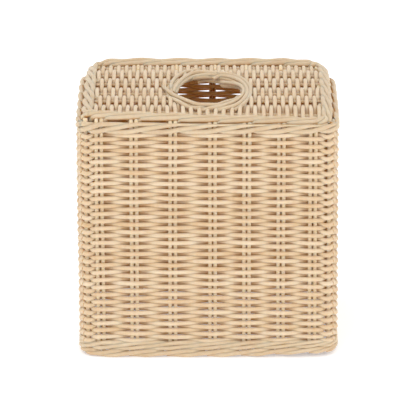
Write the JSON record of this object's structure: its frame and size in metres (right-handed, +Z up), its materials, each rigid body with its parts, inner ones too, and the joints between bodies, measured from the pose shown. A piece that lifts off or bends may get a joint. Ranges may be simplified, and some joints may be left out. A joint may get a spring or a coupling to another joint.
{
  "type": "tissue box cover",
  "caption": "Hand-woven round cane cover for a cube tissue box: randed walls, waled shoulder, woven top with a roped oval opening, open foot.",
  "frame": {"origin": "centre of the foot, on the plane that the rolled border stands on", "axes": "+Z up; -Y out of the front wall; +X to the right of somebody who looks at the front"},
  "size_m": [0.1496, 0.1496, 0.1448],
  "materials": {
    "weaver_cane": "matte",
    "stake_cane": "matte",
    "wale_cane": "matte"
  },
  "bodies": {
    "root": {"front_weave": "weaver_cane", "right_weave": "weaver_cane", "back_weave": "weaver_cane", "left_weave": "weaver_cane", "front_stakes_1": "stake_cane", "front_stakes_2": "stake_cane", "front_stakes_3": "stake_cane", "front_stakes_4": "stake_cane", "front_stakes_5": "stake_cane", "front_stakes_6": "stake_cane", "front_stakes_7": "stake_cane", "right_stakes_1": "stake_cane", "right_stakes_2": "stake_cane", "right_stakes_3": "stake_cane", "right_stakes_4": "stake_cane", "right_stakes_5": "stake_cane", "right_stakes_6": "stake_cane", "right_stakes_7": "stake_cane", "back_stakes_1": "stake_cane", "back_stakes_2": "stake_cane", "back_stakes_3": "stake_cane", "back_stakes_4": "stake_cane", "back_stakes_5": "stake_cane", "back_stakes_6": "stake_cane", "back_stakes_7": "stake_cane", "left_stakes_1": "stake_cane", "left_stakes_2": "stake_cane", "left_stakes_3": "stake_cane", "left_stakes_4": "stake_cane", "left_stakes_5": "stake_cane", "left_stakes_6": "stake_cane", "left_stakes_7": "stake_cane", "corner_posts": "stake_cane", "front_border": "wale_cane", "right_border": "wale_cane", "back_border": "wale_cane", "left_border": "wale_cane", "front_foot_wale": "wale_cane", "right_foot_wale": "wale_cane", "back_foot_wale": "wale_cane", "left_foot_wale": "wale_cane", "front_shoulder_wale": "wale_cane", "right_shoulder_wale": "wale_cane", "back_shoulder_wale": "wale_cane", "left_shoulder_wale": "wale_cane", "front_ring": "wale_cane", "right_ring": "wale_cane", "back_ring": "wale_cane", "left_ring": "wale_cane", "top_stick_1": "stake_cane", "top_stick_2": "stake_cane", "top_stick_3": "stake_cane", "top_stick_4": "stake_cane", "top_stick_5": "stake_cane", "top_stick_6": "stake_cane", "top_weave_left": "weaver_cane", "top_weave_middle": "weaver_cane", "top_weave_right": "weaver_cane", "opening_rim": "wale_cane"}
  },
  "joints": []
}
